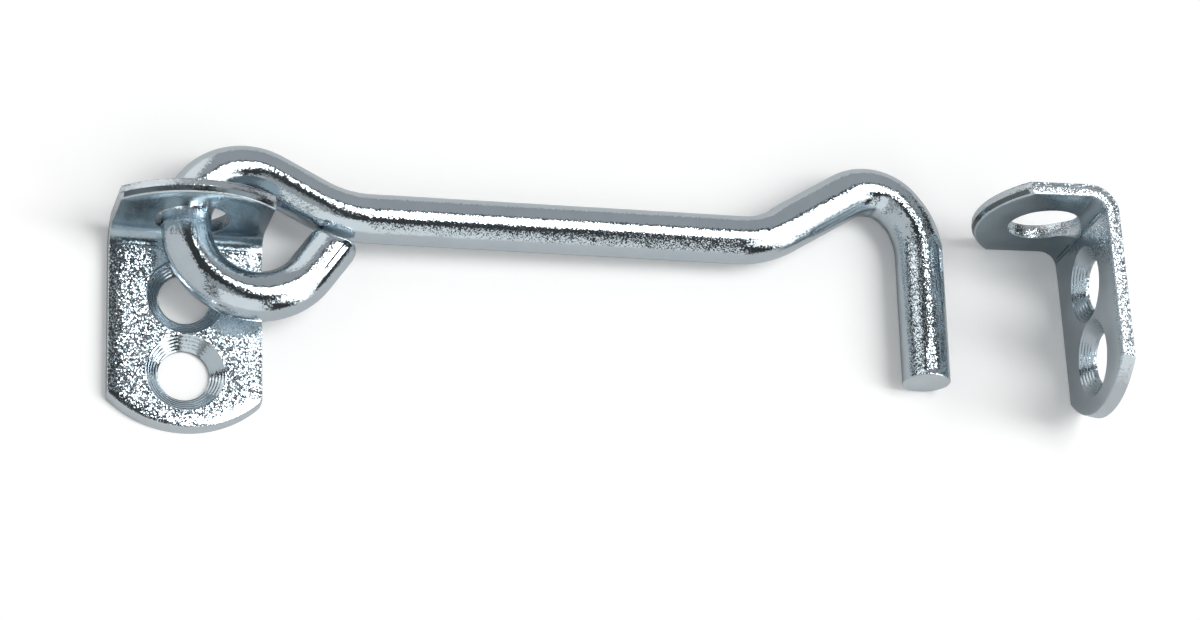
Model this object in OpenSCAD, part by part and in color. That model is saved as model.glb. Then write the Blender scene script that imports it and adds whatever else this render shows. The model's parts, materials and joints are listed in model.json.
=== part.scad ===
// Hook and eye latch: a bent rod hook that swings in the eye of a staple plate, and a like plate as its catch.
// The origin is midway between the staple plate's screw holes, on its back face.
// +X runs along the hook, +Y towards the staple plate's flange and +Z out of the surface it is screwed to.

/* [Strip] */
// Width of the steel strip that both plates are cut from
strip_w = 15.5; // [13:0.5:18]
// Thickness of the strip
strip_t = 1.5; // [1.2:0.1:2]
// Radius of a plate's rounded ends
end_r = 11; // [10:0.5:20]
// Inside radius of the bend between plate and flange
bend_r = 1; // [0.6:0.1:1.4]

/* [Plate] */
// From midway between the screw holes to the rounded end of the plate
plate_front = 10; // [9.6:0.1:14]
// From midway between the screw holes to the outer face of the flange
plate_back = 12.1; // [11.6:0.1:16]
// Height of the flange above the back of the plate
flange_h = 12.6; // [12:0.1:16]

/* [Screw holes] */
// Distance between the two screw holes
hole_pitch = 8.1; // [8.1:0.1:9]
// Bore of a screw hole
hole_d = 5.2; // [4:0.1:5.6]
// Width of a countersink
sink_d = 8; // [6.6:0.1:8]
// Depth of a countersink
sink_h = 1.1; // [0.6:0.1:1.1]

/* [Eye] */
// Play of the rod in the eye, all round
eye_play = 1.25; // [0.8:0.05:1.5]
// Height of the eye's lower edge above the front of the plate
eye_rise = 0.1; // [0.1:0.1:1]
// Gap left where the rod bears on the edge of the eye
seat_gap = 0.25; // [0.15:0.05:0.5]
// Angle below level at which the rod bears on the eye
seat_a = 62; // [30:1:90]

/* [Hook ring] */
// Diameter of the rod
rod_d = 5; // [4:0.1:5.6]
// Centreline radius of the ring's half towards the free end of the strip
ring_low_r = 6.95; // [6:0.05:8]
// Centreline radius of the ring's half behind the flange
ring_top_r = 6; // [5:0.05:7]
// Straight length of the ring inside the eye
ring_flat = 0.5; // [0.2:0.1:2]
// How far in front of the flange that straight starts
ring_set = 0.3; // [0:0.05:0.6]
// Slope at which the ring comes down to the shaft
neck_a = 27; // [22:1:34]
// Room between the swinging neck of the ring and the corner of the flange
neck_clear = 3.9; // [3:0.1:8]
// Slope of the ring's cut end
end_a = 54; // [48:1:62]
// Gap between the ring's cut end and the underside of the neck
end_gap = 0.12; // [0.05:0.01:0.5]

/* [Hook shaft] */
// Centreline radius of the bend from the neck to the shaft
neck_r = 11.7; // [8:0.1:16]
// Slope of the shaft
shaft_a = 1.3; // [0:0.1:4]
// Length of the shaft
shaft_l = 38.8; // [20:0.1:150]

/* [Hook crook] */
// Centreline radius of the bend from the shaft to the rise
rise_r = 9.9; // [6:0.1:14]
// Slope of the rise
rise_a = 32; // [22:1:45]
// Length of the rise
rise_l = 8.1; // [5:0.1:12]
// Centreline radius at the top of the crook
crook_r = 4.7; // [4:0.1:7]
// Turn at the top of the crook
crook_turn = 83; // [60:1:95]
// Straight length between the two bends of the crook
crook_flat = 0.5; // [0.3:0.1:3]
// Centreline radius of the last of the bend, down into the tip
tip_r = 7.2; // [5:0.1:10]
// Straight length of the tip
tip_l = 14.2; // [10:0.1:25]
// Chamfer on the rod's two cut ends
end_chamfer = 0.2; // [0.1:0.05:0.6]

/* [Catch plate] */
// Space between the tip of the hook and the flange of the catch plate, before the plate is turned
catch_gap = 2.7; // [1:0.1:20]
// How far the catch plate is set along its own length from the staple plate
catch_shift = 5.2; // [-10:0.1:15]
// How far the catch plate is turned from square to the hook
catch_turn = 1.8; // [-5:0.1:5]

/* [Hidden] */
$fn = 96;
zinc = [0.72, 0.76, 0.79];
// Cutters pass this far beyond the faces that they cut
through = 1;
// Each straight of the rod laps this far into the bends beside it
lap = 0.1;
// The rod swells by this much where it is bent
bend_swell = 0.02;
bend_d = rod_d + bend_swell;

// Bend between plate and flange
bend_out_r = bend_r + strip_t;
bend_y = plate_back - bend_out_r;
flange_front = plate_back - strip_t;

// Eye in the flange
eye_d = rod_d + 2 * eye_play;
eye_h = strip_t + eye_rise + eye_d / 2;

// Largest reach of the flange from the eye's axis, which the neck of the ring swings round
end_chord = sqrt(pow(end_r, 2) - pow(strip_w / 2, 2));
corner_h = flange_h - end_r + end_chord;
flange_reach = max(norm([strip_w / 2, corner_h - eye_h]), flange_h - eye_h);

// Where the straight of the ring starts, leaning on the eye's edge
seat = eye_play - seat_gap;
strand = [-seat * cos(seat_a), flange_front - ring_set, eye_h - seat * sin(seat_a)];

// Straight from the ring's upper half down to the neck
neck_l = (flange_reach + neck_clear - strand.x - ring_top_r * (1 + sin(neck_a))) / cos(neck_a);

// Stretches of rod, each [length, 0] for a straight and [radius, turn] for a bend, left turns positive
tip_path = [
    [ring_flat, 0],
    [ring_top_r, -90 - neck_a],
    [neck_l, 0],
    [neck_r, neck_a + shaft_a],
    [shaft_l, 0],
    [rise_r, rise_a - shaft_a],
    [rise_l, 0],
    [crook_r, -crook_turn],
    [crook_flat, 0],
    [tip_r, crook_turn - rise_a - 90],
    [tip_l, 0]
];
tip = walk(tip_path, 90);

// The cut end runs up until its inner corner is the end gap away from the underside of the neck
neck_normal = [sin(neck_a), cos(neck_a)];
neck_start = [ring_top_r * (1 + sin(neck_a)), ring_flat + ring_top_r * cos(neck_a)];
end_foot = ring_low_r * [1 + sin(end_a), -cos(end_a)];
end_corner = end_foot + rod_d / 2 * [-sin(end_a), cos(end_a)];
end_l = ((neck_start - end_corner) * neck_normal - rod_d / 2 - end_gap) / sin(end_a + neck_a);
end_path = [[ring_low_r, 90 + end_a], [end_l, 0]];

// The hook leans down from the eye until its tip lies on the surface
lean = asin((strand.z - bend_d / 2) / tip.x);

// Back of the catch plate, clear of the tip
catch_x = strand.x + tip.x * cos(lean) + rod_d / 2 + catch_gap + flange_h;

// Point reached at the end of a run of rod that sets off at the given heading
function walk(path, heading, from = [0, 0], i = 0) =
    i == len(path) ? from :
    let (size = path[i][0], turn = path[i][1], next = heading + turn)
    turn == 0 ? walk(path, heading, from + size * [cos(heading), sin(heading)], i + 1) :
    let (side = sign(turn), middle = from + side * size * [-sin(heading), cos(heading)])
    walk(path, next, middle + side * size * [sin(next), -cos(next)], i + 1);

// Straight rod along +X, lapping back into the bend before it, with its far end chamfered or lapping on
module straight(length, last) {
    chamfer = last ? end_chamfer : 0;
    reach = length + (last ? 0 : lap);
    rotate([0, 90, 0]) rotate_extrude() polygon(concat(
        [[0, -lap], [rod_d / 2, -lap], [rod_d / 2, reach - chamfer]],
        last ? [[rod_d / 2 - chamfer, reach]] : [],
        [[0, reach]]
    ));
}

// Rod bent along a run of stretches, setting off along +X
module rod(path, i = 0) {
    size = path[i][0];
    turn = path[i][1];
    last = i == len(path) - 1;
    if (turn == 0) {
        straight(size, last);
        if (!last) translate([size, 0, 0]) rod(path, i + 1);
    } else {
        radius = size * sign(turn);
        translate([0, radius, 0]) {
            rotate([0, 0, turn > 0 ? -90 : 90 + turn])
                rotate_extrude(angle = abs(turn)) translate([size, 0]) circle(d = bend_d);
            rotate([0, 0, turn]) translate([0, -radius, 0]) rod(path, i + 1);
        }
    }
}

// Strip folded into a plate and a flange, with square ends
module folded_strip() {
    translate([-strip_w / 2, -plate_front, 0]) cube([strip_w, plate_front + bend_y, strip_t]);
    translate([-strip_w / 2, bend_y, bend_out_r]) rotate([0, 90, 0])
        rotate_extrude(angle = 90) translate([bend_r, 0]) square([strip_t, strip_w]);
    translate([-strip_w / 2, flange_front, bend_out_r]) cube([strip_w, strip_t, flange_h - bend_out_r]);
}

// What is cut off a square end at y = 0 to round it
module end_waste() {
    translate([0, end_r, -through]) difference() {
        translate([-strip_w, -2 * end_r, 0]) cube([2 * strip_w, 2 * end_r, strip_t + 2 * through]);
        translate([0, 0, -through]) cylinder(r = end_r, h = strip_t + 4 * through);
    }
}

// Bore and countersink of one screw hole
module screw_hole() {
    rotate_extrude() polygon([
        [0, -through],
        [hole_d / 2, -through],
        [hole_d / 2, strip_t - sink_h],
        [sink_d / 2, strip_t],
        [sink_d / 2, strip_t + through],
        [0, strip_t + through]
    ]);
}

// Plate with its flange, the same for the staple and the catch
module eye_plate() {
    difference() {
        folded_strip();
        translate([0, -plate_front, 0]) end_waste();
        translate([0, plate_back, flange_h]) rotate([-90, 0, 0]) translate([0, 0, -strip_t]) end_waste();
        for (side = [-1, 1]) translate([0, side * hole_pitch / 2, 0]) screw_hole();
        translate([0, bend_y, eye_h]) rotate([-90, 0, 0]) cylinder(d = eye_d, h = bend_out_r + through);
    }
}

// Plate that carries the hook, lying on its back
module staple_plate() {
    color(zinc) eye_plate();
}

// Hook, one rod from the cut end of its ring to its tip
module hook() {
    color(zinc) translate(strand) rotate([0, lean, 0]) {
        rotate([0, 0, 90]) rod(tip_path);
        rotate([0, 0, -90]) rod(end_path);
    }
}

// Plate that takes the tip, standing on its long edge with its flange towards the hook
module catch_plate() {
    color(zinc) translate([catch_x, catch_shift, strip_w / 2]) rotate([0, -90, catch_turn]) eye_plate();
}

staple_plate();
hook();
catch_plate();
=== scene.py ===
import json
import math

import bmesh
import bpy
from mathutils import Matrix, Vector, noise


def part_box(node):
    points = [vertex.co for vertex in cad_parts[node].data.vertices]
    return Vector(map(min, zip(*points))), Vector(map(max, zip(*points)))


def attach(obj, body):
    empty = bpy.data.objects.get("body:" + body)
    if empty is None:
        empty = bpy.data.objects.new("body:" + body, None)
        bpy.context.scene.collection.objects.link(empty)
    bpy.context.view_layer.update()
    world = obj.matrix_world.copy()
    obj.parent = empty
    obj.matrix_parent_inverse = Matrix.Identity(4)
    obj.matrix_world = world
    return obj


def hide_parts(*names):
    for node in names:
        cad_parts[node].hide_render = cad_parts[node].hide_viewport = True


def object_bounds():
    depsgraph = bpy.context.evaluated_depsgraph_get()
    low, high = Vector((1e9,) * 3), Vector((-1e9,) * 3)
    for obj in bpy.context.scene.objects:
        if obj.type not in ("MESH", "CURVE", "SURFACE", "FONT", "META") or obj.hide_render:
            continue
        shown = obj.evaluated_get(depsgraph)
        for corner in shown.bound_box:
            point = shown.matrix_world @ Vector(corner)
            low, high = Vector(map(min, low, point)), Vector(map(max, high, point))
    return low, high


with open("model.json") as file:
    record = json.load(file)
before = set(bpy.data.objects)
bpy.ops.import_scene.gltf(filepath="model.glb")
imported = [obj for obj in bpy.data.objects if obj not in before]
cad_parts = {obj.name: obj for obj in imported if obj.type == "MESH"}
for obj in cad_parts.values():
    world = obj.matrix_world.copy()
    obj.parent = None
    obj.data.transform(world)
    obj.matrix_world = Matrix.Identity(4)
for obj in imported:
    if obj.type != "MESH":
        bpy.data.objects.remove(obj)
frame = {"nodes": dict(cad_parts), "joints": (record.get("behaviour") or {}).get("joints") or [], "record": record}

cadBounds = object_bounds()
scene = bpy.context.scene
mm = 0.001
print("frame loaded:", sorted(frame["nodes"]))

# camera, as the photograph was taken

shot = {
    "lens": 129.5,  # mm
    "sensor": 36.0,  # mm wide
    "nearest": 0.01,  # m
    "farthest": 20.0,  # m
    "place": (-63.69, -154.38, 397.74),  # mm
    "aim": (43.01, 5.99, 0.0),  # mm, on the table at the middle of the picture
    "roll": 34.6,  # degrees
}


def makeCamera():
    data = bpy.data.cameras.new("camera")
    data.lens = shot["lens"]
    data.sensor_width = shot["sensor"]
    data.sensor_fit = "HORIZONTAL"
    data.clip_start = shot["nearest"]
    data.clip_end = shot["farthest"]
    camera = bpy.data.objects.new("camera", data)
    scene.collection.objects.link(camera)
    place = Vector(shot["place"]) * mm
    look = Vector(shot["aim"]) * mm - place
    turn = look.to_track_quat("-Z", "Y").to_matrix().to_4x4()
    roll = Matrix.Rotation(math.radians(shot["roll"]), 4, "Z")
    camera.matrix_world = Matrix.Translation(place) @ turn @ roll
    scene.camera = camera


makeCamera()
print("camera placed")

# materials

patchScale = 420.0  # per metre, duller and brighter patches in every finish

plateFinish = {  # flat of the plates
    "colours": ((0.56, 0.64, 0.69, 1.0), (0.68, 0.76, 0.81, 1.0)),
    "crystalScale": 9000.0,  # per metre
    "lean": 0.21,  # how far the crystals' facets tip
    "waveScale": 900.0,  # per metre
    "waveHeight": 0.000008,  # m
    "roughness": (0.08, 0.17),
}
edgeFinish = {  # sheared walls
    "colours": ((0.64, 0.71, 0.75, 1.0), (0.76, 0.82, 0.86, 1.0)),
    "crystalScale": 9500.0,
    "lean": 0.26,
    "waveScale": 2400.0,
    "waveHeight": 0.000012,
    "roughness": (0.15, 0.26),
}
rodFinish = {  # drawn rod
    "colours": ((0.60, 0.68, 0.73, 1.0), (0.71, 0.79, 0.84, 1.0)),
    "crystalScale": 9500.0,
    "lean": 0.105,
    "waveScale": 500.0,
    "waveHeight": 0.000006,
    "roughness": (0.06, 0.12),
}
grainFinish = {  # crook and tip of the rod
    "colours": ((0.56, 0.64, 0.69, 1.0), (0.68, 0.76, 0.81, 1.0)),
    "crystalScale": 9500.0,
    "lean": 0.20,
    "waveScale": 500.0,
    "waveHeight": 0.000006,
    "roughness": (0.08, 0.15),
}
turnedFinish = {  # countersinks
    "colours": ((0.56, 0.64, 0.69, 1.0), (0.68, 0.76, 0.81, 1.0)),
    "crystalScale": 12000.0,
    "lean": 0.08,
    "waveScale": 900.0,
    "waveHeight": 0.000004,
    "roughness": (0.09, 0.15),
}
tornFinish = {  # rough part of a sheared wall
    "colours": ((0.34, 0.40, 0.44, 1.0), (0.60, 0.67, 0.71, 1.0)),
    "crystalScale": 7500.0,
    "lean": 0.55,
    "waveScale": 5000.0,
    "waveHeight": 0.000012,
    "roughness": (0.22, 0.36),
}
darkReflectionFinish = {  # painted dark reflection: a black band on the flange's end
    "colours": ((0.08, 0.10, 0.11, 1.0), (0.22, 0.26, 0.28, 1.0)),
    "crystalScale": 8000.0,
    "lean": 0.14,
    "waveScale": 3600.0,
    "waveHeight": 0.000012,
    "roughness": (0.12, 0.20),
}
rubbedShadeFinish = {  # inside of the bend and the flange, where the die slid; its darker colour is painted shade
    "colours": ((0.32, 0.40, 0.45, 1.0), (0.44, 0.53, 0.58, 1.0)),
    "crystalScale": 9000.0,
    "lean": 0.10,
    "waveScale": 700.0,
    "waveHeight": 0.000008,
    "roughness": (0.16, 0.26),
}
cutFinish = {  # cut ends of the rod
    "colours": ((0.70, 0.77, 0.81, 1.0), (0.80, 0.86, 0.89, 1.0)),
    "crystalScale": 7000.0,
    "lean": 0.30,
    "waveScale": 1400.0,
    "waveHeight": 0.00003,
    "roughness": (0.36, 0.50),
}


def newMaterial(name):
    material = bpy.data.materials.new(name)
    material.use_nodes = True
    tree = material.node_tree
    return material, tree, tree.nodes["Principled BSDF"]


def addNode(tree, kind, sockets=None, **settings):
    made = tree.nodes.new("ShaderNode" + kind)
    for setting, value in settings.items():
        setattr(made, setting, value)
    for socket, value in (sockets or {}).items():
        made.inputs[socket].default_value = value
    return made


def makeZinc(name, finish):
    material, tree, shader = newMaterial(name)
    link = tree.links.new
    coords = addNode(tree, "TexCoord").outputs["Object"]
    shader.inputs["Metallic"].default_value = 1.0

    # each zinc crystal leans its own way
    crystals = addNode(tree, "TexVoronoi", {"Scale": finish["crystalScale"]})
    centred = addNode(tree, "VectorMath", {1: (0.5, 0.5, 0.5)}, operation="SUBTRACT")
    lean = addNode(tree, "VectorMath", {"Scale": finish["lean"]}, operation="SCALE")
    tipped = addNode(tree, "VectorMath", operation="ADD")
    facet = addNode(tree, "VectorMath", operation="NORMALIZE")
    link(coords, crystals.inputs["Vector"])
    link(crystals.outputs["Color"], centred.inputs[0])
    link(centred.outputs["Vector"], lean.inputs[0])
    link(addNode(tree, "NewGeometry").outputs["Normal"], tipped.inputs[0])
    link(lean.outputs["Vector"], tipped.inputs[1])
    link(tipped.outputs["Vector"], facet.inputs[0])

    # slow waves under the crystals
    waves = addNode(tree, "TexNoise", {"Scale": finish["waveScale"], "Detail": 2.0})
    bump = addNode(tree, "Bump", {"Distance": finish["waveHeight"]})
    link(coords, waves.inputs["Vector"])
    link(waves.outputs["Fac"], bump.inputs["Height"])
    link(facet.outputs["Vector"], bump.inputs["Normal"])
    link(bump.outputs["Normal"], shader.inputs["Normal"])

    # duller and brighter patches
    patches = addNode(tree, "TexNoise", {"Scale": patchScale, "Detail": 4.0})
    tint = addNode(tree, "ValToRGB")
    for element, colour in zip(tint.color_ramp.elements, finish["colours"]):
        element.color = colour
    smoothest, roughest = finish["roughness"]
    spread = addNode(tree, "MapRange", {"To Min": smoothest, "To Max": roughest})
    link(coords, patches.inputs["Vector"])
    link(patches.outputs["Fac"], tint.inputs["Fac"])
    link(tint.outputs["Color"], shader.inputs["Base Color"])
    link(patches.outputs["Fac"], spread.inputs["Value"])
    link(spread.outputs["Result"], shader.inputs["Roughness"])
    return material


plateZinc = makeZinc("plateZinc", plateFinish)
edgeZinc = makeZinc("edgeZinc", edgeFinish)
rodZinc = makeZinc("rodZinc", rodFinish)
grainZinc = makeZinc("grainZinc", grainFinish)
turnedZinc = makeZinc("turnedZinc", turnedFinish)
tornZinc = makeZinc("tornZinc", tornFinish)
darkReflectionZinc = makeZinc("darkReflectionZinc", darkReflectionFinish)
rubbedShadeZinc = makeZinc("rubbedShadeZinc", rubbedShadeFinish)
cutZinc = makeZinc("cutZinc", cutFinish)
print("materials made")

# what the pieces share

meshing = {
    "weld": 0.0005,  # mm
    "hardAngle": 32.0,  # degrees, sharper edges stay hard
    "weight": 80,  # of the larger faces in the shading
    "level": 1e-5,  # mm, heights this close are the same
    "onCut": 1e-3,  # mm, corners this close to a cut lie on it
}


def ease(value, low, high):
    # from 0 at low to 1 at high
    part = min(1, max(0, (value - low) / (high - low)))
    return part * part * (3 - 2 * part)


def finishPiece(bm, name, materials, place):
    bmesh.ops.remove_doubles(bm, verts=bm.verts, dist=meshing["weld"])  # still in millimetres here
    bmesh.ops.recalc_face_normals(bm, faces=bm.faces)
    bm.transform(Matrix.Scale(mm, 4) @ place)
    for face in bm.faces:
        face.smooth = True
    hardAngle = math.radians(meshing["hardAngle"])
    for edge in bm.edges:
        if edge.is_manifold and edge.calc_face_angle() > hardAngle:
            edge.smooth = False
    mesh = bpy.data.meshes.new(name)
    bm.to_mesh(mesh)
    bm.free()
    piece = bpy.data.objects.new(name, mesh)
    scene.collection.objects.link(piece)
    for material in materials:
        mesh.materials.append(material)
    shade = piece.modifiers.new("evenShading", "WEIGHTED_NORMAL")
    shade.weight = meshing["weight"]
    shade.keep_sharp = True
    print(name, "made:", len(mesh.polygons), "faces")
    return piece


# the two folded plates

stapleLow, stapleHigh = [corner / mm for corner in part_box("staple_plate")]

plateFinishes = [plateZinc, edgeZinc, tornZinc, turnedZinc, darkReflectionZinc, rubbedShadeZinc]
flatSlot, edgeSlot, tornSlot, turnedSlot, darkReflectionSlot, rubbedShadeSlot = range(6)

eyePlate = {  # mm
    "thick": 1.5,
    "endR": 11.0,
    "arcSteps": 40,
    "bendR": 1.6,
    "bendCuts": 18,
    "holePitch": 8.1,
    "holeR": 2.6,
    "holeSteps": 96,
    "sinkR": 4.0,
    "sinkDepth": 1.1,
    "sinkRings": 10,
    "sinkRidge": 0.012,  # half the height of a turning ring
    "eyeR": 3.75,
    "eyeH": 5.35,
    "rimR": 0.08,  # rounding of the hole rims
    "rimSteps": 2,
    "edge": (  # insets at the sides, rounded end and flange end, height above the back, finish
        (0.11, 0.05, 0.11, 0.00, tornSlot),
        (0.06, 0.00, 0.06, 0.05, tornSlot),
        (0.05, 0.06, 0.05, 0.36, tornSlot),
        (0.00, 0.08, 0.00, 0.45, tornSlot),
        (0.00, 0.14, 0.00, 0.76, edgeSlot),
        # painted dark reflection: the next two steps paint a black band across the wall
        (0.00, 0.15, 0.03, 0.80, darkReflectionSlot),
        (0.00, 0.23, 0.20, 1.23, darkReflectionSlot),
        (0.01, 0.25, 0.23, 1.28, edgeSlot),
        (0.04, 0.28, 0.28, 1.33, edgeSlot),
        (0.12, 0.36, 0.37, 1.365, edgeSlot),
    ),
    "endArc": 3.15,  # length of a rounded end
    "sideRoll": 1.8,  # width of the front drawn down by the punch
    "endRoll": 1.5,
    "rollSteps": 6,
    "swell": 0.04,  # rise of the front where the bend starts
    "swellLength": 1.3,
    "swellCuts": 5,
    "pressLines": (0.30, 0.90),  # from the start of the bend
    "pressEnd": 1.3,
    "pressWidth": 0.10,
    "pressDepth": 0.11,
    "pressSpans": ((-7.0, -2.5), (2.7, 6.3)),
    "pressFade": 0.6,
    "rubShadeStart": 0.2,  # from the start of the bend
}


def roundStep(radius, count):
    # quarter round as (inset, rise), from the flat to the wall
    angles = [math.radians(90) * i / count for i in range(count + 1)]
    return [(radius * (1 - math.sin(a)), radius * (1 - math.cos(a))) for a in angles]


def edgeSteps():
    # the whole edge, from the back round to the flat of the front
    steps = list(eyePlate["edge"])
    *insets, height = steps[-1][:4]
    rolls = (eyePlate["sideRoll"], eyePlate["endRoll"], eyePlate["endRoll"])
    thick = eyePlate["thick"]
    for i in range(1, eyePlate["rollSteps"] + 1):
        part = 1 - i / eyePlate["rollSteps"]
        rolled = [roll + (inset - roll) * part for inset, roll in zip(insets, rolls)]
        steps.append((*rolled, thick + (height - thick) * part ** 2, flatSlot))
    return steps


def makeEyePlate(name, place):
    thick = eyePlate["thick"]
    endR = eyePlate["endR"]
    halfWidth = (stapleHigh.x - stapleLow.x) / 2
    outR = eyePlate["bendR"] + thick
    bendStart = stapleHigh.y - outR
    bendLength = (eyePlate["bendR"] + thick / 2) * math.pi / 2
    stripTop = bendStart + bendLength + stapleHigh.z - outR

    def fold(co):
        across, along, height = co
        turned = (along - bendStart) / bendLength
        radius = outR - height
        if turned <= 0:
            return Vector(co)
        if turned < 1:
            angle = turned * math.pi / 2
            reach = radius * math.sin(angle)
            return Vector((across, bendStart + reach, outR - radius * math.cos(angle)))
        return Vector((across, bendStart + radius, outR + along - bendStart - bendLength))

    def unfold(up, height):
        if up >= outR:
            return bendStart + bendLength + up - outR
        return bendStart + bendLength * math.acos((outR - up) / (outR - height)) / (math.pi / 2)

    bm = bmesh.new()

    def liesAt(edge, height):
        return all(abs(v.co.z - height) < meshing["level"] for v in edge.verts)

    def outline(sideInset, lowInset, flangeInset, height):
        half = halfWidth - sideInset
        lowR = endR - lowInset
        topR = endR - flangeInset
        lowMiddle = stapleLow.y + endR
        topMiddle = stripTop - endR
        start = bm.verts.new((-half, lowMiddle - math.sqrt(lowR ** 2 - half ** 2), height))
        chain = bmesh.ops.spin(bm, geom=[start], cent=(0, lowMiddle, height), axis=(0, 0, 1),
                               angle=2 * math.asin(half / lowR), steps=eyePlate["arcSteps"])
        corner = next(g for g in chain["geom_last"] if isinstance(g, bmesh.types.BMVert))
        up = bm.verts.new((half, topMiddle + math.sqrt(topR ** 2 - half ** 2), height))
        bm.edges.new((corner, up))
        chain = bmesh.ops.spin(bm, geom=[up], cent=(0, topMiddle, height), axis=(0, 0, 1),
                               angle=2 * math.asin(half / topR), steps=eyePlate["arcSteps"])
        corner = next(g for g in chain["geom_last"] if isinstance(g, bmesh.types.BMVert))
        bm.edges.new((corner, start))
        return [e for e in bm.edges if not e.link_faces and liesAt(e, height)]

    # sheared wall and rolled front edge, each end torn in its own way
    # only the flange's end keeps the band of painted dark reflection
    lowSwap = {tornSlot: edgeSlot, darkReflectionSlot: edgeSlot}
    sideSwap = {darkReflectionSlot: edgeSlot}
    flangeSwap = {tornSlot: edgeSlot}
    steps = edgeSteps()
    lower = outline(*steps[0][:4])
    for sideInset, lowInset, flangeInset, height, finish in steps[1:]:
        upper = outline(sideInset, lowInset, flangeInset, height)
        wall = bmesh.ops.bridge_loops(bm, edges=lower + upper)
        for face in wall["faces"]:
            along = face.calc_center_median().y
            if along < stapleLow.y + eyePlate["endArc"]:
                swap = lowSwap
            elif along > stripTop - eyePlate["endArc"]:
                swap = flangeSwap
            else:
                swap = sideSwap
            face.material_index = swap.get(finish, finish)
        lower = upper

    def pierce(profile, middle):
        verts = [bm.verts.new((radius, middle, height)) for radius, height in profile]
        edges = [bm.edges.new(pair) for pair in zip(verts, verts[1:])]
        before = set(bm.verts) - set(verts)
        bmesh.ops.spin(bm, geom=verts + edges, cent=(0, middle, 0), axis=(0, 0, 1),
                       angle=2 * math.pi, steps=eyePlate["holeSteps"], use_merge=True)
        return [v for v in bm.verts if v not in before]

    # countersunk screw holes with turning rings
    rim = roundStep(eyePlate["rimR"], eyePlate["rimSteps"])
    holeR = eyePlate["holeR"]
    land = thick - eyePlate["sinkDepth"]
    flare = eyePlate["sinkR"] - holeR
    rings = eyePlate["sinkRings"]
    tilt = Vector((eyePlate["sinkDepth"], -flare)).normalized() * eyePlate["sinkRidge"]
    profile = [(holeR + inset, rise) for inset, rise in rim] + [(holeR, land)]
    for i in range(1, rings):
        side = 1 if i % 2 else -1
        profile.append((holeR + flare * i / rings + side * tilt.x,
                        land + eyePlate["sinkDepth"] * i / rings + side * tilt.y))
    profile.append((eyePlate["sinkR"], thick))
    for side in (-1, 1):
        bore = pierce(profile, side * eyePlate["holePitch"] / 2)
        for face in {f for v in bore for f in v.link_faces}:
            face.material_index = turnedSlot if face.calc_center_median().z > land else tornSlot
        for edge in {e for v in bore for e in v.link_edges}:
            low, high = sorted(v.co.z for v in edge.verts)
            edge.smooth = high - low > meshing["level"] or low < land  # each ring keeps a hard ridge

    # eye, round in the finished flange, so its flat shape is worked back from there
    profile = [(eyePlate["eyeR"] + inset, rise) for inset, rise in rim]
    profile += [(radius, thick - rise) for radius, rise in reversed(profile)]
    eye = pierce(profile, eyePlate["eyeH"])
    for v in eye:
        v.co.y = unfold(v.co.y, v.co.z)
    for face in {f for v in eye for f in v.link_faces}:
        face.material_index = edgeSlot

    # back and front faces
    for height in (0, thick):
        rims = [e for e in bm.edges if e.is_boundary and liesAt(e, height)]
        bmesh.ops.triangle_fill(bm, use_beauty=True, use_dissolve=False, edges=rims)

    def cut(faces, point, normal):
        edges = dict.fromkeys(e for f in faces for e in f.edges)
        verts = dict.fromkeys(v for f in faces for v in f.verts)
        bmesh.ops.bisect_plane(bm, geom=[*faces, *edges, *verts], dist=meshing["level"],
                               plane_co=point, plane_no=normal)

    # cuts for the bend, its swell and its press lines
    frontFrom = 0.9 * thick  # anything higher is the front
    swellLength = eyePlate["swellLength"]
    swellCuts = eyePlate["swellCuts"]
    bendCuts = eyePlate["bendCuts"]
    alongCuts = [bendLength * i / bendCuts for i in range(bendCuts + 1)]
    alongCuts += [-swellLength * i / swellCuts for i in range(1, swellCuts + 1)]
    for line in eyePlate["pressLines"]:
        alongCuts += [line - eyePlate["pressWidth"], line, line + eyePlate["pressWidth"]]
    for along in alongCuts:
        cut(bm.faces[:], (0, bendStart + along, 0), (0, 1, 0))
    for low, high in eyePlate["pressSpans"]:
        for across in (low, low + eyePlate["pressFade"], high - eyePlate["pressFade"], high):
            front = [f for f in bm.faces if f.normal.z and all(
                0 <= v.co.y - bendStart <= eyePlate["pressEnd"] and v.co.z > frontFrom for v in f.verts)]
            cut(front, (across, 0, 0), (1, 0, 0))

    # swell and press lines, then the fold
    for v in bm.verts:
        along = v.co.y - bendStart
        front = ease(v.co.z, 0.5 * thick, frontFrom)
        swollen = ease(along, -swellLength, 0) * (1 - ease(along, 0, 0.5 * bendLength))
        v.co.z += front * eyePlate["swell"] * swollen
        for line in eyePlate["pressLines"]:
            if abs(along - line) < meshing["onCut"] and front > 0.99:
                for low, high in eyePlate["pressSpans"]:
                    inside = ease(v.co.x, low, low + eyePlate["pressFade"])
                    inside -= ease(v.co.x, high - eyePlate["pressFade"], high)
                    v.co.z -= eyePlate["pressDepth"] * inside
    # the front of the bend and flange takes the rubbed finish, whose darker colour is painted shade
    for face in bm.faces:
        rubbedAndShaded = face.calc_center_median().y > bendStart + eyePlate["rubShadeStart"]
        if rubbedAndShaded and face.material_index == flatSlot:
            face.material_index = rubbedShadeSlot
    for v in bm.verts:
        v.co = fold(v.co)
    return finishPiece(bm, name, plateFinishes, place)


staplePlate = makeEyePlate("staplePlate", Matrix.Identity(4))
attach(staplePlate, "staple")
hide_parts("staple_plate")

catchScrews = next(m for m in frame["record"]["mounts"] if m["name"] == "catch_screws")
catchTurn = math.atan2(-catchScrews["axis"][1], -catchScrews["axis"][0])
stoodUp = Matrix.Rotation(catchTurn, 4, "Z") @ Matrix.Rotation(math.radians(-90), 4, "Y")
catchPlate = makeEyePlate("catchPlate", Matrix.Translation(Vector(catchScrews["pos_m"]) / mm) @ stoodUp)
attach(catchPlate, "catch")
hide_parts("catch_plate")

# the bent rod

hookFinishes = [rodZinc, cutZinc, grainZinc]
cutSlot, grainSlot = 1, 2

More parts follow.
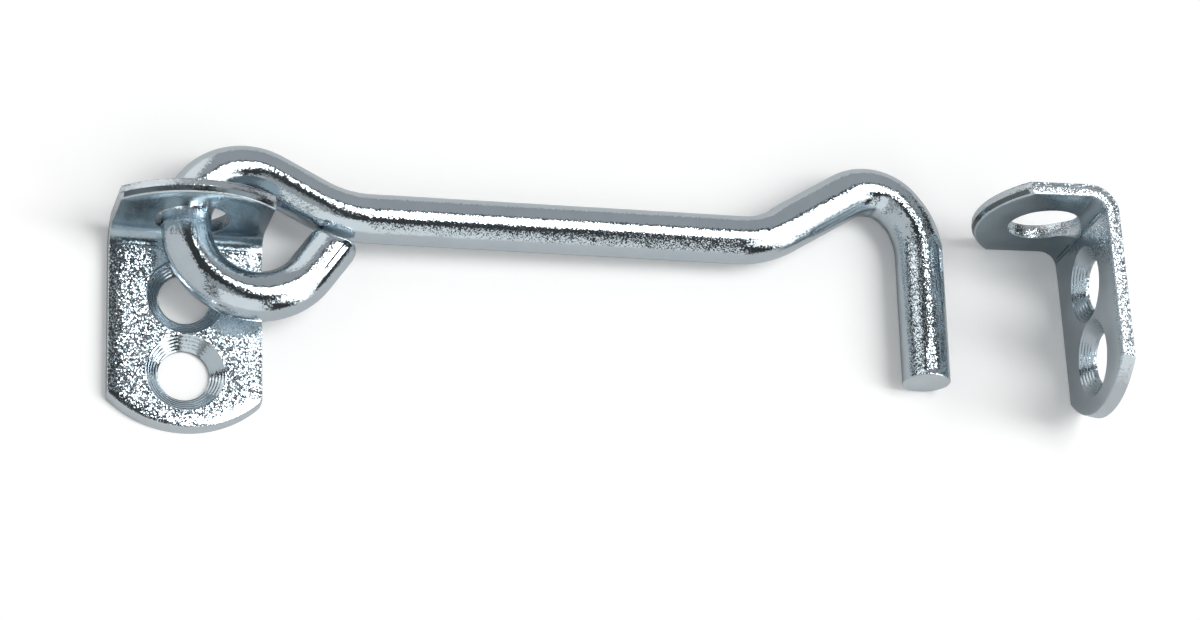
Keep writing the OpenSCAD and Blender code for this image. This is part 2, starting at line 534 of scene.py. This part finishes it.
hookRod = {  # mm and degrees
    "rodR": 2.5,
    "tipLift": 0.01,  # between the tip and the table
    "seat": 1.0,  # offset of the rod from the middle of the eye
    "seatAngle": 62.0,
    "strandY": 10.3,
    "ringLowR": 6.95,
    "ringTopR": 6.0,
    "ringFlat": 0.5,
    "neckAngle": 27.0,
    "neckLength": 4.93,
    "endAngle": 54.0,
    "endLength": 4.141,
    "neckR": 11.7,
    "shaftAngle": 1.3,
    "shaftLength": 38.8,
    "riseR": 9.9,
    "riseAngle": 32.0,
    "riseLength": 8.1,
    "crookR": 4.7,
    "crookTurn": 83.0,
    "crookFlat": 0.5,
    "tipR": 7.2,
    "tipLength": 14.2,
    "endRound": 0.8,
    "endSlant": 0.9,  # the ring's end was cropped at a slant, longer on its outer side
    "endSlantLength": 1.6,
    "endSlantSpan": (-0.3, 0.9),  # share of the rod's radius, from the inner side to the outer
    "tipRound": 0.12,
    "tipRoundSteps": 3,
    "grainFrom": 102.5,  # the crook and the tip are grainier than the rest
    "sides": 120,
    "step": 0.25,  # length of one ring of faces
    "fewest": 10,  # rings in the shortest stretch
    "unevenness": 0.008,  # drawn rod is never quite round
    "unevenScale": 0.35,
}

rodPath = [  # (length, 0) for a straight and (radius, turn) for a bend, from the cut end to the tip
    (hookRod["endRound"], 0),
    (hookRod["endLength"] - hookRod["endRound"], 0),
    (hookRod["ringLowR"], -90 - hookRod["endAngle"]),
    (hookRod["ringFlat"], 0),
    (hookRod["ringTopR"], -90 - hookRod["neckAngle"]),
    (hookRod["neckLength"], 0),
    (hookRod["neckR"], hookRod["neckAngle"] + hookRod["shaftAngle"]),
    (hookRod["shaftLength"], 0),
    (hookRod["riseR"], hookRod["riseAngle"] - hookRod["shaftAngle"]),
    (hookRod["riseLength"], 0),
    (hookRod["crookR"], -hookRod["crookTurn"]),
    (hookRod["crookFlat"], 0),
    (hookRod["tipR"], hookRod["crookTurn"] - hookRod["riseAngle"] - 90),
    (hookRod["tipLength"], 0),
]


def sweepRod(bm, start, heading):
    along = Vector((math.cos(heading), math.sin(heading), 0))
    stand = Matrix.Translation(start) @ along.to_track_quat("Z", "Y").to_matrix().to_4x4()
    ring = bmesh.ops.create_circle(bm, cap_ends=False, segments=hookRod["sides"],
                                   radius=hookRod["rodR"], matrix=stand)["verts"]
    last = ring + list(dict.fromkeys(e for v in ring for e in v.link_edges))
    here = start.copy()
    for size, turn in rodPath:
        angle = math.radians(turn)
        length = size if turn == 0 else size * abs(angle)
        steps = max(hookRod["fewest"], round(length / hookRod["step"]))
        along = Vector((math.cos(heading), math.sin(heading), 0))
        if turn == 0:
            move = along * size
            swept = bmesh.ops.spin(bm, geom=last, cent=here, axis=(0, 0, 1), dvec=move / steps,
                                   angle=0, steps=steps)
            here = here + move
        else:
            inward = Vector((-along.y, along.x, 0)) * math.copysign(size, turn)
            middle = here + inward
            swept = bmesh.ops.spin(bm, geom=last, cent=middle, axis=(0, 0, 1), angle=angle, steps=steps)
            here = middle + Matrix.Rotation(angle, 3, "Z") @ -inward
            heading += angle
        last = [g for g in swept["geom_last"] if not isinstance(g, bmesh.types.BMFace)]
    return here


rodMarks = {  # left by the bending tools: along the rod and deep in mm, round it in degrees
    "risePin": {"from": 84.0, "grow": 3.0, "to": 89.7, "fade": 0.8,
        "around": 0, "spread": 62, "edge": 40, "arch": 0, "depth": 0.14},
    "riseJaw": {"from": 90.8, "grow": 0.4, "to": 100.0, "fade": 2.0,
        "around": 146, "spread": 11, "edge": 4, "arch": 0.8, "depth": 0.05},
    "crookPin": {"from": 100.2, "grow": 1.3, "to": 107.0, "fade": 1.5,
        "around": 172, "spread": 64, "edge": 16, "arch": 0.6, "depth": 0.09},
    "tipJaw": {"from": 108.2, "grow": 0.35, "to": 117.0, "fade": 6.0,
        "around": 60, "spread": 24, "edge": 6, "arch": 1.0, "depth": 0.20},
    "tipNick": {"from": 120.2, "grow": 0.3, "to": 126.0, "fade": 1.0,
        "around": 96, "spread": 11, "edge": 4, "arch": 0.8, "depth": 0.035},
    "tipBurr": {"from": 123.1, "grow": 0.4, "to": 126.0, "fade": 1.0,
        "around": 85, "spread": 35, "edge": 15, "arch": 0, "depth": -0.06},
    "scratch": {"from": 0.2, "grow": 0.3, "to": 4.6, "fade": 1.5,
        "around": 64, "spread": 7, "edge": 6, "arch": 0, "depth": 0.08},
}


def markDepth(mark, station, around):
    aside = (around - mark["around"] + 180) % 360 - 180
    start = mark["from"] + mark["arch"] * (aside / mark["spread"]) ** 2
    depth = mark["depth"] * ease(station, start, start + mark["grow"])
    depth *= 1 - ease(station, mark["to"] - mark["fade"], mark["to"])
    return depth * (1 - ease(abs(aside), mark["spread"] - mark["edge"], mark["spread"]))


def markRod(bm):
    sides = hookRod["sides"]
    endRound = hookRod["endRound"]
    verts = list(bm.verts)
    rings = [verts[i:i + sides] for i in range(0, len(verts), sides)]
    middles = [sum((v.co for v in ring), Vector()) / sides for ring in rings]
    station = 0.0
    for i, ring in enumerate(rings):
        if i:
            station += (middles[i] - middles[i - 1]).length
        ahead = middles[min(i + 1, len(rings) - 1)] - middles[max(i - 1, 0)]
        left = Vector((-ahead.y, ahead.x, 0)).normalized()
        near = [m for m in rodMarks.values() if m["from"] < station < m["to"]]
        for v in ring:
            out = (v.co - middles[i]).normalized()
            around = math.degrees(math.atan2(out.z, out.dot(left)))
            depth = sum(markDepth(m, station, around) for m in near)
            depth -= hookRod["unevenness"] * noise.noise(v.co * hookRod["unevenScale"])
            depth += endRound - math.sqrt(endRound ** 2 - max(0, endRound - station) ** 2)
            slant = hookRod["endSlant"] * ease(out.dot(left), *hookRod["endSlantSpan"])
            slant *= 1 - ease(station, 0, hookRod["endSlantLength"])
            v.co -= out * depth + ahead.normalized() * slant
            if station > hookRod["grainFrom"]:
                for face in v.link_faces:
                    face.material_index = grainSlot


def makeHook():
    bm = bmesh.new()
    endAngle = math.radians(hookRod["endAngle"])
    foot = Vector((1 + math.sin(endAngle), -math.cos(endAngle), 0)) * hookRod["ringLowR"]
    out = Vector((math.cos(endAngle), math.sin(endAngle), 0))
    tip = sweepRod(bm, foot + out * hookRod["endLength"], endAngle + math.pi)
    markRod(bm)
    rims = [e for e in bm.edges if e.is_boundary]
    caps = bmesh.ops.holes_fill(bm, edges=rims, sides=0)["faces"]
    for cap in caps:
        cap.material_index = cutSlot
    tipCap = min(caps, key=lambda cap: (cap.calc_center_median() - tip).length)
    bmesh.ops.bevel(bm, geom=list(tipCap.edges), offset=hookRod["tipRound"], affect="EDGES",
                    segments=hookRod["tipRoundSteps"], profile=0.5, material=-1)
    seatAngle = math.radians(hookRod["seatAngle"])
    eye = Vector(frame["joints"][0]["pos_m"]) / mm
    strand = Vector((eye.x - hookRod["seat"] * math.cos(seatAngle), hookRod["strandY"],
                     eye.z - hookRod["seat"] * math.sin(seatAngle)))
    lean = math.asin((strand.z - hookRod["rodR"] - hookRod["tipLift"]) / tip.x)
    place = Matrix.Translation(strand) @ Matrix.Rotation(lean, 4, "Y")
    return finishPiece(bm, "hookRod", hookFinishes, place)


hook = makeHook()
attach(hook, "hook")
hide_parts("hook")

# table and light

studio = {
    "tableSize": 3.0,  # m
    "table": (0.60, 0.60, 0.60, 1.0),
    "tableSeen": (0.99, 0.985, 0.98, 1.0),  # to the camera
    "tableGlow": 0.07,
    "tableRoughness": 0.9,
    "tableShine": 0.1,
    "gloom": (0.043, 0.045, 0.047),  # between the boards
    "edgeSoftness": 0.03,
    "boards": [  # light, and the lines (across, along, offset) that bound each board in the sky
        {"light": (6.5, 6.5, 6.5),  # overhead
         "edges": [(0.97, 0.243, 0.18), (-1, 0, -0.9), (0.894, -0.447, -0.015),
                   (-0.423, -0.906, -0.404), (0, 1, -0.20)]},
        {"light": (1.7, 1.7, 1.7),  # front right
         "edges": [(1, 0, 0.39), (-1, 0, -0.9), (0, 1, -0.70), (0, -1, 0.14)]},
        {"light": (0.37, 0.38, 0.39),  # back
         "edges": [(0, 1, 0.43), (-1, 0, -0.72)]},
        {"light": (0.9, 0.9, 0.9),  # back left
         "edges": [(0, 1, 0.50), (-1, 0, 0.15)]},
        {"light": (1.6, 1.6, 1.6),  # strip in front of it
         "edges": [(0, 1, 0.35), (0, -1, -0.52), (-1, 0, 0.42), (1, 0, -0.82)]},
        {"light": (0.61, 0.625, 0.63),  # left
         "edges": [(-1, 0, 0.42), (-1, 0.367, 0.30), (0, -1, -0.24)]},
        {"light": (0.38, 0.39, 0.39),  # front left
         "edges": [(1, -0.367, -0.26), (-1, 0, 0.02), (0, -1, 0.22)]},
        {"light": (0.88, 0.89, 0.89),  # low front
         "edges": [(1, -0.367, -0.14), (-0.957, -0.287, -0.065), (0, -1, 0.58)]},
    ],
}


def makeTable():
    bm = bmesh.new()
    bmesh.ops.create_grid(bm, x_segments=1, y_segments=1, size=studio["tableSize"])
    mesh = bpy.data.meshes.new("table")
    bm.to_mesh(mesh)
    bm.free()
    table = bpy.data.objects.new("table", mesh)
    table.location.z = cadBounds[0][2]
    scene.collection.objects.link(table)
    material, tree, shader = newMaterial("tableWhite")
    link = tree.links.new
    shader.inputs["Roughness"].default_value = studio["tableRoughness"]
    shader.inputs["Specular IOR Level"].default_value = studio["tableShine"]
    path = addNode(tree, "LightPath")
    white = addNode(tree, "ValToRGB")
    white.color_ramp.elements[0].color = studio["table"]
    white.color_ramp.elements[1].color = studio["tableSeen"]
    link(path.outputs["Is Camera Ray"], white.inputs["Fac"])
    link(white.outputs["Color"], shader.inputs["Base Color"])
    seen = addNode(tree, "Math", {1: studio["tableGlow"]}, operation="MULTIPLY")
    glow = addNode(tree, "Emission")
    both = addNode(tree, "AddShader")
    link(path.outputs["Is Camera Ray"], seen.inputs[0])
    link(seen.outputs["Value"], glow.inputs["Strength"])
    link(shader.outputs["BSDF"], both.inputs[0])
    link(glow.outputs["Emission"], both.inputs[1])
    link(both.outputs["Shader"], tree.nodes["Material Output"].inputs["Surface"])
    mesh.materials.append(material)


def makeLight():
    world = bpy.data.worlds.new("studio")
    world.use_nodes = True
    tree = world.node_tree
    link = tree.links.new
    direction = addNode(tree, "TexCoord").outputs["Generated"]
    lit = None
    for board in studio["boards"]:
        inside = None
        for across, along, offset in board["edges"]:
            side = addNode(tree, "VectorMath", {1: (across, along, 0)}, operation="DOT_PRODUCT")
            rise = {"From Min": offset, "From Max": offset + studio["edgeSoftness"]}
            edge = addNode(tree, "MapRange", rise, interpolation_type="SMOOTHSTEP")
            link(direction, side.inputs[0])
            link(side.outputs["Value"], edge.inputs["Value"])
            if inside:
                both = addNode(tree, "Math", operation="MULTIPLY")
                link(inside, both.inputs[0])
                link(edge.outputs["Result"], both.inputs[1])
                inside = both.outputs["Value"]
            else:
                inside = edge.outputs["Result"]
        shine = addNode(tree, "VectorMath", {0: board["light"]}, operation="SCALE")
        brightest = addNode(tree, "VectorMath", {1: studio["gloom"]}, operation="MAXIMUM")
        link(inside, shine.inputs["Scale"])
        link(shine.outputs["Vector"], brightest.inputs[0])
        if lit:
            link(lit, brightest.inputs[1])
        lit = brightest.outputs["Vector"]
    link(lit, tree.nodes["Background"].inputs["Color"])
    scene.world = world


makeTable()
makeLight()
scene.view_settings.view_transform = "Standard"
print("table and light made")
